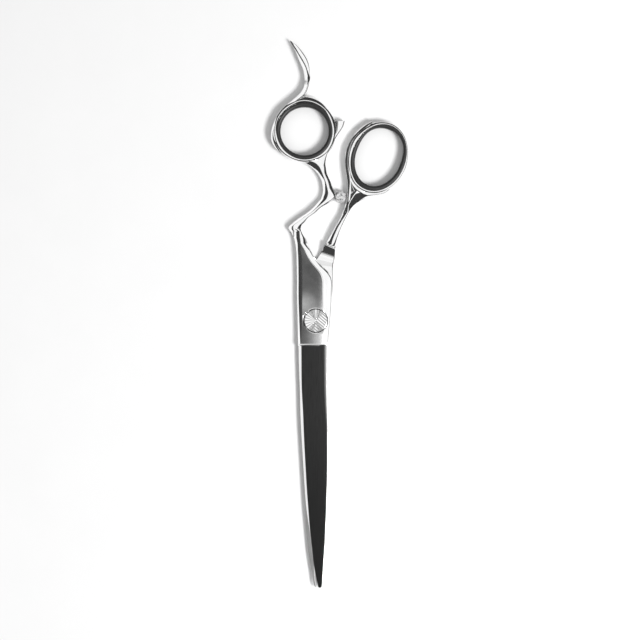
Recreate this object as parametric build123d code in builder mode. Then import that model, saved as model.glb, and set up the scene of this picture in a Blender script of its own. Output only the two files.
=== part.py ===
from build123d import *
import os

# Hair cutting shears lying flat and closed, tips towards -Y, rings towards +Y, +Z up.
# The origin is on the pivot axis, at the level the shears rest on.
# The finger half is the upper one. All lengths are in millimetres.

# Levels above the rest plane
METAL_BOTTOM = 0.4
METAL_TOP = 5.6
MATING_LEVEL = 3.0
BLADE_GAP = 0.1
LOWER_FACE = MATING_LEVEL - BLADE_GAP / 2
UPPER_FACE = MATING_LEVEL + BLADE_GAP / 2
INSERT_TOP = 6.0
FORGING_ROUND = 1.1

# Rubber inserts
FINGER_HOLE_CENTRE = (-4.7, 78.4)
FINGER_HOLE_R = 9.9
THUMB_HOLE_CENTRE = (25.9, 67.7)
THUMB_HOLE_LONG = 12.2
THUMB_HOLE_SHORT = 9.3
THUMB_HOLE_TILT = 68.6
INSERT_WALL = 2.0
INSERT_ROUND = 0.6
FIT_GAP = 0.04

# Blades: distance along the blade, cutting edge, spine, thickness at the spine
FINGER_BLADE = [
    (-9.0, -6.1, 5.1, 2.5),
    (-28.0, -5.8, 4.9, 2.35),
    (-50.0, -4.8, 4.9, 2.1),
    (-70.0, -3.7, 4.5, 1.8),
    (-90.0, -1.9, 3.8, 1.45),
    (-104.0, -0.3, 2.8, 1.1),
    (-110.4, 1.0, 2.2, 0.85),
]
THUMB_BLADE = [
    (-9.0, 4.4, -7.3, 2.5),
    (-28.0, 4.2, -6.7, 2.35),
    (-50.0, 3.5, -5.9, 2.1),
    (-70.0, 2.4, -4.9, 1.8),
    (-90.0, 0.8, -3.6, 1.45),
    (-104.0, -0.6, -2.1, 1.1),
    (-110.2, -0.1, -0.9, 0.85),
]
EDGE_THICKNESS = 0.3
SPINE_BEVEL = 0.9
SPINE_LAND = 0.75

# Finger half, seen from above
FINGER_RING = [
    (-18.6, 77.0), (-17.7, 81.0), (-14.0, 87.0), (-8.8, 91.9), (-2.9, 92.8), (0.9, 91.5),
    (4.4, 88.3), (6.9, 85.0), (8.4, 78.5), (7.4, 74.2), (5.2, 70.0), (1.0, 66.8),
    (-3.5, 65.6), (-7.5, 66.0), (-12.0, 68.0), (-16.4, 71.0),
]
TANG_LEFT = [
    (-11.0, 89.0), (-7.2, 93.4), (-5.2, 95.9), (-4.6, 98.6), (-5.0, 103.4), (-7.3, 109.0),
    (-10.9, 115.8),
]
TANG_RIGHT = [
    (-10.3, 116.1), (-6.4, 112.2), (-3.2, 107.2), (-2.5, 103.4), (-2.6, 99.6), (-4.0, 95.2),
    (-4.6, 91.0),
]
TANG_BOTTOM = 1.3
TANG_TOP = 4.7
SPUR = [(4.5, 82.6), (11.9, 82.6), (11.0, 79.8), (8.9, 77.0), (7.0, 73.6), (5.3, 70.4), (3.4, 66.4)]
SPUR_BOTTOM = 1.2
SPUR_TOP = 4.8
FINGER_SHANK_LEFT = [
    (-6.0, 66.6), (-1.2, 63.0), (1.3, 60.2), (2.8, 56.3), (2.5, 51.6), (-0.6, 47.3),
    (-6.2, 42.9), (-11.4, 38.6),
]
FINGER_SHANK_RIGHT = [
    (-4.4, 34.9), (-5.5, 37.8), (-4.8, 40.5), (-0.6, 44.7), (3.6, 47.7), (7.9, 51.4),
]
FINGER_SHANK_OUTER = [(7.9, 51.4), (7.2, 54.5), (5.3, 58.4), (3.9, 62.0), (4.6, 68.4)]
FINGER_STEP = (-9.3, 34.3)
FINGER_RICASSO_LEFT = [
    (-10.6, 37.4), (-9.1, 34.1), (-8.2, 29.0), (-7.9, 23.6), (-7.8, 12.7), (-7.4, -10.0),
]
FINGER_RICASSO_RIGHT = [
    (5.2, -10.0), (6.0, 0.3), (6.5, 8.6), (6.7, 16.6), (5.5, 19.8), (1.1, 23.9), (-2.1, 28.9),
    (-4.4, 34.5), (-5.5, 37.6),
]

# Thumb half, seen from above
THUMB_RING = [
    (11.9, 66.0), (12.5, 70.7), (14.5, 75.0), (18.0, 79.3), (22.4, 81.9), (26.6, 82.5),
    (31.5, 81.0), (35.6, 77.6), (38.1, 72.3), (38.3, 67.0), (37.1, 61.6), (34.4, 56.6),
    (30.2, 53.2), (25.3, 51.7), (20.5, 51.2), (15.6, 53.4), (12.8, 59.4),
]
THUMB_SHANK_LEFT = [
    (4.0, 31.9), (6.4, 35.7), (9.8, 41.8), (12.2, 47.5), (13.1, 53.0), (12.4, 61.0),
]
THUMB_SHANK_RIGHT = [
    (24.0, 52.8), (19.7, 50.1), (15.6, 47.6), (11.6, 41.0), (9.0, 34.7), (7.9, 29.8),
]
THUMB_RICASSO_LEFT = [
    (4.6, 32.7), (2.0, 28.3), (0.2, 25.7), (-3.2, 22.2), (-6.2, 18.2), (-7.1, 12.0), (-7.4, -10.0),
]
THUMB_RICASSO_RIGHT = [
    (4.4, -10.0), (5.6, 0.3), (6.3, 8.6), (6.9, 15.6), (7.2, 24.0), (8.0, 30.6),
]

# Pivot, from the bolt's head up to the dial
HEAD_R = 4.5
HEAD_TOP = 1.0
NECK_SIDE = 4.4
NECK_TOP = 2.2
SHAFT_R = 2.0
SHAFT_TOP = 5.3
RUNNING_GAP = 0.05
RACE_INNER_R = 2.4
RACE_OUTER_R = 4.2
RACE_THICKNESS = 0.28
RECESS_R = 4.3
RECESS_DEPTH = 0.75
BALL_COUNT = 10
BALL_R = 0.45
BALL_CIRCLE_R = 3.25
BALL_GAP = 0.02
CAGE_INNER_R = 2.5
CAGE_OUTER_R = 4.0
CAGE_THICKNESS = 0.4
CAGE_POCKET_R = 0.52
BUSHING_R = 2.6
COUNTERBORE_R = 4.95
COUNTERBORE_FLOOR = 4.35
COUNTERBORE_CHAMFER = 0.3
SLIDE_WASHER_R = 4.6
SLIDE_WASHER_TOP = 4.5
SPRING_INNER_R = 2.6
SPRING_OUTER_R = 4.3
SPRING_WIRE = 0.12
SPRING_WAVES = 3
SPRING_TOP = 4.78
PRESSURE_WASHER_TOP = 5.0
PRESSURE_WASHER_R = 4.5
DIAL_R = 4.75
DIAL_TOP = 6.0
DIAL_CHAMFER = 0.25
DIAL_THREAD_TOP = 5.65
SPANNER_HOLE_R = 0.35
SPANNER_HOLE_OFFSET = 1.15
SPANNER_HOLE_DEPTH = 0.25

# Bumper beside the thumb shank
BUMPER_CENTRE = (10.25, 51.3, 3.0)
BUMPER_R = 2.4
BUMPER_STEM_R = 1.1
BUMPER_STEM_LENGTH = 5.0


def add_run(points):
    """Draw one smooth run of an outline, or a straight line between two points."""
    if len(points) == 2:
        Line(*points)
    else:
        Spline(*points)


def slab(runs, bottom, top):
    """Make a flat slab from the runs of its outline."""
    with BuildPart() as blank:
        with BuildSketch(Plane.XY.offset(bottom)):
            with BuildLine():
                for run in runs:
                    add_run(run)
            make_face()
        extrude(amount=top - bottom)
    return blank.part


def ring_blank(outline, bottom, top, rounding):
    """Make a slab with rounded rims from one closed smooth outline."""
    with BuildPart() as blank:
        with BuildSketch(Plane.XY.offset(bottom)):
            with BuildLine():
                Spline(*outline, periodic=True)
            make_face()
        extrude(amount=top - bottom)
        rims = blank.edges().group_by(Axis.Z)
        fillet(rims[0] + rims[-1], radius=rounding)
    return blank.part


def blade(stations, inner_face, outward):
    """Loft a blade with a flat inner face; outward is +1 for the upper blade, -1 for the lower."""
    with BuildPart() as blank:
        for along, edge, spine, thickness in stations:
            side = 1 if spine > edge else -1
            bevel = min(SPINE_BEVEL, 0.3 * abs(spine - edge))
            with BuildSketch(Plane.XZ.offset(-along)):
                with BuildLine():
                    Polyline(
                        (edge, inner_face),
                        (spine, inner_face),
                        (spine, inner_face + outward * thickness * SPINE_LAND),
                        (spine - side * bevel, inner_face + outward * thickness),
                        (edge, inner_face + outward * EDGE_THICKNESS),
                        close=True,
                    )
                make_face()
        loft()
    return blank.part


def ring_sleeve(outer_r, inner_r, bottom, top):
    """Make a plain washer or sleeve on the pivot axis."""
    with BuildPart() as blank:
        with BuildSketch(Plane.XY.offset(bottom)):
            Circle(outer_r)
            Circle(inner_r, mode=Mode.SUBTRACT)
        extrude(amount=top - bottom)
    return blank.part


finger_ring_blank = ring_blank(FINGER_RING, METAL_BOTTOM, METAL_TOP, FORGING_ROUND)
finger_tang_blank = slab(
    [TANG_LEFT, [TANG_LEFT[-1], TANG_RIGHT[0]], TANG_RIGHT, [TANG_RIGHT[-1], TANG_LEFT[0]]],
    TANG_BOTTOM,
    TANG_TOP,
)
finger_spur_blank = slab([SPUR[:2], SPUR[1:], [SPUR[-1], SPUR[0]]], SPUR_BOTTOM, SPUR_TOP)
finger_shank_blank = slab(
    [
        FINGER_SHANK_LEFT,
        [FINGER_SHANK_LEFT[-1], FINGER_STEP],
        [FINGER_STEP, FINGER_SHANK_RIGHT[0]],
        FINGER_SHANK_RIGHT,
        FINGER_SHANK_OUTER,
        [FINGER_SHANK_OUTER[-1], FINGER_SHANK_LEFT[0]],
    ],
    METAL_BOTTOM,
    METAL_TOP,
)
finger_ricasso_blank = slab(
    [
        FINGER_RICASSO_LEFT,
        [FINGER_RICASSO_LEFT[-1], FINGER_RICASSO_RIGHT[0]],
        FINGER_RICASSO_RIGHT,
        [FINGER_RICASSO_RIGHT[-1], FINGER_RICASSO_LEFT[0]],
    ],
    UPPER_FACE,
    METAL_TOP,
)
finger_blade_blank = blade(FINGER_BLADE, UPPER_FACE, 1)

thumb_ring_blank = ring_blank(THUMB_RING, METAL_BOTTOM, METAL_TOP, FORGING_ROUND)
thumb_shank_blank = slab(
    [
        THUMB_SHANK_LEFT,
        [THUMB_SHANK_LEFT[-1], THUMB_SHANK_RIGHT[0]],
        THUMB_SHANK_RIGHT,
        [THUMB_SHANK_RIGHT[-1], THUMB_SHANK_LEFT[0]],
    ],
    METAL_BOTTOM,
    METAL_TOP,
)
thumb_ricasso_blank = slab(
    [
        THUMB_RICASSO_LEFT,
        [THUMB_RICASSO_LEFT[-1], THUMB_RICASSO_RIGHT[0]],
        THUMB_RICASSO_RIGHT,
        [THUMB_RICASSO_RIGHT[-1], THUMB_RICASSO_LEFT[0]],
    ],
    METAL_BOTTOM,
    LOWER_FACE,
)
thumb_blade_blank = blade(THUMB_BLADE, LOWER_FACE, -1)

os.makedirs("parts", exist_ok=True)

# Finger half: blade, ricasso, shank, ring, tang and spur in one forging
with BuildPart() as finger_half:
    add(finger_ring_blank)
    add(finger_tang_blank)
    add(finger_spur_blank)
    add(finger_shank_blank)
    add(finger_ricasso_blank)
    add(finger_blade_blank)
    with BuildSketch(Plane.XY.offset(METAL_BOTTOM)):
        with Locations(FINGER_HOLE_CENTRE):
            Circle(FINGER_HOLE_R + INSERT_WALL + FIT_GAP)
    extrude(amount=METAL_TOP - METAL_BOTTOM, mode=Mode.SUBTRACT)
    with BuildSketch(Plane.XY.offset(UPPER_FACE)):
        Circle(RECESS_R)
    extrude(amount=RECESS_DEPTH, mode=Mode.SUBTRACT)
    with BuildSketch(Plane.XY.offset(UPPER_FACE)):
        Circle(BUSHING_R + FIT_GAP)
    extrude(amount=METAL_TOP - UPPER_FACE, mode=Mode.SUBTRACT)
    with BuildSketch(Plane.XY.offset(COUNTERBORE_FLOOR)):
        Circle(COUNTERBORE_R)
    extrude(amount=METAL_TOP - COUNTERBORE_FLOOR, mode=Mode.SUBTRACT)
    with BuildSketch(Plane.XY.offset(METAL_TOP)):
        Circle(COUNTERBORE_R + COUNTERBORE_CHAMFER)
    extrude(amount=-COUNTERBORE_CHAMFER, taper=45, mode=Mode.SUBTRACT)
    with BuildSketch(Plane.YZ.offset(BUMPER_CENTRE[0])):
        with Locations(BUMPER_CENTRE[1:]):
            Circle(BUMPER_STEM_R + FIT_GAP)
    extrude(amount=-BUMPER_STEM_LENGTH - FIT_GAP, mode=Mode.SUBTRACT)
finger_half.part.label = "finger_half"
export_step(finger_half.part, "parts/finger_half.step")

# Thumb half: blade, ricasso, shank and ring in one forging
with BuildPart() as thumb_half:
    add(thumb_ring_blank)
    add(thumb_shank_blank)
    add(thumb_ricasso_blank)
    add(thumb_blade_blank)
    with BuildSketch(Plane.XY.offset(METAL_BOTTOM)):
        with Locations(Location(THUMB_HOLE_CENTRE + (0,), (0, 0, THUMB_HOLE_TILT))):
            Ellipse(
                THUMB_HOLE_LONG + INSERT_WALL + FIT_GAP, THUMB_HOLE_SHORT + INSERT_WALL + FIT_GAP
            )
    extrude(amount=METAL_TOP - METAL_BOTTOM, mode=Mode.SUBTRACT)
    with BuildSketch(Plane.XY.offset(METAL_BOTTOM)):
        Circle(HEAD_R + RUNNING_GAP)
    extrude(amount=HEAD_TOP - METAL_BOTTOM, mode=Mode.SUBTRACT)
    with BuildSketch(Plane.XY.offset(HEAD_TOP)):
        Rectangle(NECK_SIDE + 2 * FIT_GAP, NECK_SIDE + 2 * FIT_GAP)
    extrude(amount=LOWER_FACE - HEAD_TOP, mode=Mode.SUBTRACT)
    with BuildSketch(Plane.XY.offset(LOWER_FACE)):
        Circle(RECESS_R)
    extrude(amount=-RECESS_DEPTH, mode=Mode.SUBTRACT)
thumb_half.part.label = "thumb_half"
export_step(thumb_half.part, "parts/thumb_half.step")

# Rubber inserts, standing proud of the metal on both sides
with BuildPart() as finger_ring_insert:
    with BuildSketch():
        with Locations(FINGER_HOLE_CENTRE):
            Circle(FINGER_HOLE_R + INSERT_WALL)
            Circle(FINGER_HOLE_R, mode=Mode.SUBTRACT)
    extrude(amount=INSERT_TOP)
    fillet(finger_ring_insert.edges().filter_by(GeomType.CIRCLE), radius=INSERT_ROUND)
finger_ring_insert.part.label = "finger_ring_insert"
export_step(finger_ring_insert.part, "parts/finger_ring_insert.step")

with BuildPart() as thumb_ring_insert:
    with BuildSketch():
        with Locations(Location(THUMB_HOLE_CENTRE + (0,), (0, 0, THUMB_HOLE_TILT))):
            Ellipse(THUMB_HOLE_LONG + INSERT_WALL, THUMB_HOLE_SHORT + INSERT_WALL)
            Ellipse(THUMB_HOLE_LONG, THUMB_HOLE_SHORT, mode=Mode.SUBTRACT)
    extrude(amount=INSERT_TOP)
    thumb_rims = thumb_ring_insert.edges().group_by(Axis.Z)
    fillet(thumb_rims[0] + thumb_rims[-1], radius=INSERT_ROUND)
thumb_ring_insert.part.label = "thumb_ring_insert"
export_step(thumb_ring_insert.part, "parts/thumb_ring_insert.step")

# Clear bumper, its stem pushed into the finger half's boss
with BuildPart() as bumper:
    with Locations(BUMPER_CENTRE):
        Sphere(BUMPER_R)
    with BuildSketch(Plane.YZ.offset(BUMPER_CENTRE[0])):
        with Locations(BUMPER_CENTRE[1:]):
            Circle(BUMPER_STEM_R)
    extrude(amount=-BUMPER_STEM_LENGTH)
bumper.part.label = "bumper"
export_step(bumper.part, "parts/bumper.step")

# Pivot bolt: flat head, square neck and round shaft
with BuildPart() as pivot_bolt:
    with BuildSketch():
        Circle(HEAD_R)
    extrude(amount=HEAD_TOP - RUNNING_GAP)
    with BuildSketch():
        Rectangle(NECK_SIDE, NECK_SIDE)
    extrude(amount=NECK_TOP)
    with BuildSketch():
        Circle(SHAFT_R)
    extrude(amount=SHAFT_TOP)
pivot_bolt.part.label = "pivot_bolt"
export_step(pivot_bolt.part, "parts/pivot_bolt.step")

# Thrust bearing between the halves
with BuildPart() as lower_race:
    add(
        ring_sleeve(
            RACE_OUTER_R,
            RACE_INNER_R,
            MATING_LEVEL - BALL_R - BALL_GAP - RACE_THICKNESS,
            MATING_LEVEL - BALL_R - BALL_GAP,
        )
    )
lower_race.part.label = "lower_race"
export_step(lower_race.part, "parts/lower_race.step")

with BuildPart() as upper_race:
    add(
        ring_sleeve(
            RACE_OUTER_R,
            RACE_INNER_R,
            MATING_LEVEL + BALL_R + BALL_GAP,
            MATING_LEVEL + BALL_R + BALL_GAP + RACE_THICKNESS,
        )
    )
upper_race.part.label = "upper_race"
export_step(upper_race.part, "parts/upper_race.step")

with BuildPart() as bearing_cage:
    with BuildSketch(Plane.XY.offset(MATING_LEVEL - CAGE_THICKNESS / 2)):
        Circle(CAGE_OUTER_R)
        Circle(CAGE_INNER_R, mode=Mode.SUBTRACT)
        with PolarLocations(BALL_CIRCLE_R, BALL_COUNT):
            Circle(CAGE_POCKET_R, mode=Mode.SUBTRACT)
    extrude(amount=CAGE_THICKNESS)
bearing_cage.part.label = "bearing_cage"
export_step(bearing_cage.part, "parts/bearing_cage.step")

with BuildPart() as bearing_balls:
    with Locations((0, 0, MATING_LEVEL)):
        with PolarLocations(BALL_CIRCLE_R, BALL_COUNT):
            Sphere(BALL_R)
bearing_balls.part.label = "bearing_balls"
export_step(bearing_balls.part, "parts/bearing_balls.step")

# Sleeve the bolt turns in
with BuildPart() as pivot_bushing:
    add(
        ring_sleeve(
            BUSHING_R,
            SHAFT_R + RUNNING_GAP,
            UPPER_FACE + RECESS_DEPTH,
            COUNTERBORE_FLOOR,
        )
    )
pivot_bushing.part.label = "pivot_bushing"
export_step(pivot_bushing.part, "parts/pivot_bushing.step")

# Tension stack in the counterbore
with BuildPart() as slide_washer:
    add(ring_sleeve(SLIDE_WASHER_R, BUSHING_R, COUNTERBORE_FLOOR + FIT_GAP, SLIDE_WASHER_TOP))
slide_washer.part.label = "slide_washer"
export_step(slide_washer.part, "parts/slide_washer.step")

with BuildPart() as wave_spring:
    add(ring_sleeve(SPRING_OUTER_R, SPRING_INNER_R, SLIDE_WASHER_TOP + FIT_GAP, SPRING_TOP))
    spring_middle = (SLIDE_WASHER_TOP + FIT_GAP + SPRING_TOP) / 2
    with BuildSketch(Plane.XY.offset(spring_middle + SPRING_WIRE / 2)):
        with PolarLocations(0, SPRING_WAVES):
            with BuildLine():
                Polyline((0, 0), (SPRING_OUTER_R, 0), (SPRING_OUTER_R, SPRING_OUTER_R), close=True)
            make_face()
    extrude(amount=SPRING_TOP - spring_middle, mode=Mode.SUBTRACT)
wave_spring.part.label = "wave_spring"
export_step(wave_spring.part, "parts/wave_spring.step")

with BuildPart() as pressure_washer:
    add(
        ring_sleeve(
            PRESSURE_WASHER_R, SHAFT_R + RUNNING_GAP, SPRING_TOP + FIT_GAP, PRESSURE_WASHER_TOP
        )
    )
pressure_washer.part.label = "pressure_washer"
export_step(pressure_washer.part, "parts/pressure_washer.step")

with BuildPart() as tension_dial:
    with BuildSketch(Plane.XY.offset(PRESSURE_WASHER_TOP + FIT_GAP)):
        Circle(DIAL_R)
    extrude(amount=DIAL_TOP - PRESSURE_WASHER_TOP - FIT_GAP)
    dial_rim = tension_dial.edges().group_by(Axis.Z)[-1]
    chamfer(dial_rim, length=DIAL_CHAMFER)
    with BuildSketch(Plane.XY.offset(PRESSURE_WASHER_TOP)):
        Circle(SHAFT_R + RUNNING_GAP)
    extrude(amount=DIAL_THREAD_TOP - PRESSURE_WASHER_TOP, mode=Mode.SUBTRACT)
    with BuildSketch(Plane.XY.offset(DIAL_TOP)):
        with PolarLocations(SPANNER_HOLE_OFFSET, 2, start_angle=70):
            Circle(SPANNER_HOLE_R)
    extrude(amount=-SPANNER_HOLE_DEPTH, mode=Mode.SUBTRACT)
tension_dial.part.label = "tension_dial"
export_step(tension_dial.part, "parts/tension_dial.step")

for piece in (finger_half, thumb_half, bumper, tension_dial):
    print(piece.part.label, len(piece.part.solids()), round(piece.part.volume, 1))
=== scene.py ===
import math

import bmesh
import bpy
import numpy as np
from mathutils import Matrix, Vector


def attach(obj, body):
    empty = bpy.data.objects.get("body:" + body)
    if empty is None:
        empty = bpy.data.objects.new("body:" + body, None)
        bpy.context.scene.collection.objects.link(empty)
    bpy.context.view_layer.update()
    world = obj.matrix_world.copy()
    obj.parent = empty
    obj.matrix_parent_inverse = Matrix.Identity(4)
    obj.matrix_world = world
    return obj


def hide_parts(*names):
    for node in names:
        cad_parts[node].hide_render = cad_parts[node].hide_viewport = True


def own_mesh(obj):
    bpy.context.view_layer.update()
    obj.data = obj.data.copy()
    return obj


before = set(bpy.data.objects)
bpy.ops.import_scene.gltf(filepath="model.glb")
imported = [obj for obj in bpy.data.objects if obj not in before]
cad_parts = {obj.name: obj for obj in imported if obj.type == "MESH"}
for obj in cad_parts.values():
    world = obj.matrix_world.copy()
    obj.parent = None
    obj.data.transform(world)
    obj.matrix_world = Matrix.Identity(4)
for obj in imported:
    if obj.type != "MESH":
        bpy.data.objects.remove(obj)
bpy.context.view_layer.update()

# Tables and profiles are in millimetres, ring tables give angles in degrees, slopes are degrees.
MM = 0.001
EIGHTH = math.pi / 4  # of a turn
FULL_TURN = 2 * math.pi
MID = 3.0  # height at which the two halves meet
UPPER_FACE = 3.05  # underside of the upper ricasso
FINGER_C = (-4.7, 78.4)
FINGER_HOLE = 11.6
THUMB_C = (25.9, 67.6)
THUMB_HOLE = (13.8, 10.9)  # long and short radius
THUMB_TILT = math.radians(21.4)


# ---------------------------------------------------------------- mesh helpers
def around(count):
    """Evenly spaced angles of one full turn."""
    return np.linspace(0, FULL_TURN, count, endpoint=False)


def spline(rows, count, cols=4):
    """Natural cubic through the rows, spaced evenly along the first columns."""
    p = np.asarray(rows, float)
    step = np.diff(p[:, :cols], axis=0)
    t = np.concatenate([[0.0], np.cumsum(np.sqrt((step**2).sum(1)))])
    n = len(t)
    h = np.diff(t)
    a = np.eye(n)
    b = np.zeros_like(p)
    for i in range(1, n - 1):
        a[i, i - 1 : i + 2] = h[i - 1], 2 * (h[i - 1] + h[i]), h[i]
        b[i] = 6 * ((p[i + 1] - p[i]) / h[i] - (p[i] - p[i - 1]) / h[i - 1])
    m = np.linalg.solve(a, b)
    u = np.linspace(0, t[-1], count)
    i = np.clip(np.searchsorted(t, u) - 1, 0, n - 2)
    w = (u - t[i])[:, None]
    g = h[i][:, None]
    slope = (p[i + 1] - p[i]) / g - g * (2 * m[i] + m[i + 1]) / 6
    return p[i] + w * slope + w**2 * m[i] / 2 + w**3 * (m[i + 1] - m[i]) / (6 * g)


class Shell:
    """Collects lofted skins that become one mesh."""

    def __init__(self):
        self.verts, self.faces, self.mats, self.sharp = [], [], [], []

    def loft(self, sections, sharp=(), mats=None, closed=False):
        """Skin over the sections. sharp lists its hard lines, mats a slot for every facet."""
        n, m = sections.shape[:2]
        base = len(self.verts)
        self.verts += (sections.reshape(-1, 3) * MM).tolist()
        last = n if closed else n - 1
        for i in range(last):
            k = (i + 1) % n
            for j in range(m):
                q = (j + 1) % m
                a, b, c, d = i * m + j, i * m + q, k * m + q, k * m + j
                self.faces.append([base + a, base + b, base + c, base + d])
                self.mats.append(mats[j] if mats else 0)
            self.sharp += [(base + i * m + j, base + k * m + j) for j in sharp]
        if not closed:
            for i in (0, n - 1):
                self.faces.append([base + i * m + j for j in range(m)])
                self.mats.append(0)
                self.sharp += [(base + i * m + j, base + i * m + (j + 1) % m) for j in range(m)]

    def build(self, name, materials):
        """Object with outward normals and the hard lines marked as sharp edges."""
        mesh = bpy.data.meshes.new(name)
        mesh.from_pydata(self.verts, [], self.faces)
        for mat in materials:
            mesh.materials.append(mat)
        mesh.polygons.foreach_set("material_index", self.mats)
        mesh.polygons.foreach_set("use_smooth", [True] * len(self.faces))
        bm = bmesh.new()
        bm.from_mesh(mesh)
        bmesh.ops.recalc_face_normals(bm, faces=bm.faces)
        bm.to_mesh(mesh)
        bm.free()
        if self.sharp:
            size = len(self.verts)
            pairs = np.sort(np.array(self.sharp), axis=1)
            keys = pairs[:, 0].astype(np.int64) * size + pairs[:, 1]
            ends = np.zeros(len(mesh.edges) * 2, np.int64)
            mesh.edges.foreach_get("vertices", ends)
            ends = np.sort(ends.reshape(-1, 2), axis=1)
            flags = np.isin(ends[:, 0] * size + ends[:, 1], keys)
            layer = mesh.attributes.new("sharp_edge", "BOOLEAN", "EDGE")
            layer.data.foreach_set("value", flags)
        obj = bpy.data.objects.new(name, mesh)
        bpy.context.scene.collection.objects.link(obj)
        return obj


def lofted_rows(rows, count):
    """Edge lines through the rows by spline, the other columns by straight interpolation."""
    table = np.asarray(rows, float)
    step = np.sqrt((np.diff(table[:, :4], axis=0) ** 2).sum(1))
    t = np.concatenate([[0.0], np.cumsum(step)])
    u = np.linspace(0, t[-1], count)
    rest = [np.interp(u, t, table[:, c]) for c in range(4, table.shape[1])]
    return np.column_stack([spline(table[:, :4], count)] + rest)


LEAST_HALF = 0.12  # least half thickness of a bar
LEAST_SHARE = 1e-3  # keeps two facet bounds from meeting


def ground_line(width, bounds, slopes, crown, steps=4, bulge=3.0):
    """Share of the width, and height, along facets ground at the slopes, each bulging a little."""
    spots = np.concatenate([[0.0], np.asarray(bounds), [1.0]])
    spots = np.maximum.accumulate(spots + np.arange(len(spots)) * LEAST_SHARE)
    spots = spots / spots[-1]
    out, ridges, high = [], [], 0.0
    for (a, b), slope in zip(zip(spots[:-1], spots[1:]), slopes):
        ridges.append(len(out))
        for k in range(steps):
            out.append((a + (b - a) * k / steps, high))
            lean = slope + bulge * (1 - 2 * (k + 0.5) / steps)
            high += math.tan(math.radians(lean)) * width * (b - a) / steps
    ridges.append(len(out))
    out.append((1.0, high))
    top = max(h for v, h in out)
    return [(v, max(h - top + crown, LEAST_HALF)) for v, h in out], ridges


def bar_section(start, across, line, mid):
    """Section of a ground bar, the same above and below its mid height."""
    top = [(*(start + across * v), mid + h) for v, h in line]
    low = [(*(start + across * v), mid - h) for v, h in reversed(line)]
    return top + low


def loft_bar(shell, sections, ridges, closed=False):
    """Skin over bar sections, hard along the ridges of both sides."""
    last = len(sections[0]) - 1
    shell.loft(np.array(sections), list(ridges) + [last - j for j in ridges], closed=closed)


def strip(shell, rows, count, slopes, mid=MID):
    """Ground bar between two edge lines. Each row: left x, y, right x, y, crown, facet bounds."""
    sections, ridges = [], []
    for row in lofted_rows(rows, count):
        left, right = row[:2], row[2:4]
        width = float(np.linalg.norm(right - left))
        line, ridges = ground_line(width, row[5:], slopes, row[4])
        sections.append(bar_section(left, right - left, line, mid))
    loft_bar(shell, sections, ridges)


def oval(centre, long_r, short_r, tilt, angle):
    """Point and outward direction on an oval, the angle counted from its long axis."""
    axis_u = np.array([math.sin(tilt), math.cos(tilt)])
    axis_v = np.array([-math.cos(tilt), math.sin(tilt)])
    point = np.array(centre) + long_r * math.cos(angle) * axis_u + short_r * math.sin(angle) * axis_v
    normal = math.cos(angle) / long_r * axis_u + math.sin(angle) / short_r * axis_v
    return point, normal / np.linalg.norm(normal)


def ring(shell, centre, long_r, short_r, tilt, table, slopes, crown=2.6, count=240):
    """Ground ring around an oval hole. Each row: angle, width, facet bounds."""
    table = np.asarray(table, float)
    known = np.radians(table[:, 0])
    sections, ridges = [], []
    for angle in around(count):
        inner, normal = oval(centre, long_r, short_r, tilt, angle)
        values = [np.interp(angle, known, column, period=FULL_TURN) for column in table.T[1:]]
        width, *bounds = values
        line, ridges = ground_line(width, bounds, slopes, crown)
        sections.append(bar_section(inner, normal * width, line, MID))
    loft_bar(shell, sections, ridges, closed=True)


def turned_section(angle, profile):
    """Points of a radius and height profile, turned about the pivot axis to the angle."""
    return [(r * math.cos(angle), r * math.sin(angle), z) for r, z in profile]


def cutter(name, profile):
    """Turned solid around the pivot axis, to be cut out of a blade."""
    shell = Shell()
    sections = np.array([turned_section(angle, profile) for angle in around(96)])
    shell.loft(sections, closed=True)
    return shell.build(name, [])


def cut(obj, tool):
    """Cut the tool out of the object and drop the tool."""
    mod = obj.modifiers.new("cut", "BOOLEAN")
    mod.operation = "DIFFERENCE"
    mod.solver = "EXACT"
    mod.object = tool
    graph = bpy.context.evaluated_depsgraph_get()
    mesh = bpy.data.meshes.new_from_object(obj.evaluated_get(graph))
    obj.modifiers.clear()
    obj.data = mesh
    bpy.data.objects.remove(tool)


def join(name, parts):
    """Join the parts into one object."""
    bpy.ops.object.select_all(action="DESELECT")
    for part in parts:
        part.select_set(True)
    bpy.context.view_layer.objects.active = parts[0]
    bpy.ops.object.join()
    parts[0].name = name
    parts[0].data.name = name
    return parts[0]


# ---------------------------------------------------------------- material helpers
class Graph:
    """Node tree. Each helper adds a node, links it up and returns its output."""

    def __init__(self, tree):
        self.nodes, self.links = tree.nodes, tree.links

    def coords(self, kind):
        return self.nodes.new("ShaderNodeTexCoord").outputs[kind]

    def split(self, vector):
        """The three outputs X, Y and Z of a vector."""
        node = self.nodes.new("ShaderNodeSeparateXYZ")
        self.links.new(vector, node.inputs["Vector"])
        return node.outputs

    def ramp(self, value, stops):
        """Grey level for a value, from pairs of position and level."""
        node = self.nodes.new("ShaderNodeValToRGB")
        marks = node.color_ramp.elements
        while len(marks) < len(stops):
            marks.new(0.5)
        for mark, (position, level) in zip(marks, stops):
            mark.position = position
            mark.color = (level, level, level, 1)
        self.links.new(value, node.inputs["Fac"])
        return node.outputs["Color"]

    def fade(self, value, start, end):
        """Nothing at the start value, one at the end value, smooth between them."""
        node = self.nodes.new("ShaderNodeMapRange")
        node.interpolation_type = "SMOOTHSTEP"
        node.inputs["From Min"].default_value = start
        node.inputs["From Max"].default_value = end
        self.links.new(value, node.inputs["Value"])
        return node.outputs["Result"]

    def blend(self, share, first, second):
        """The first colour where the share is nothing, the second where it is one."""
        node = self.nodes.new("ShaderNodeMix")
        node.data_type = "RGBA"
        self.links.new(share, node.inputs["Factor"])
        self.links.new(first, node.inputs["A"])
        self.links.new(second, node.inputs["B"])
        return node.outputs["Result"]


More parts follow.
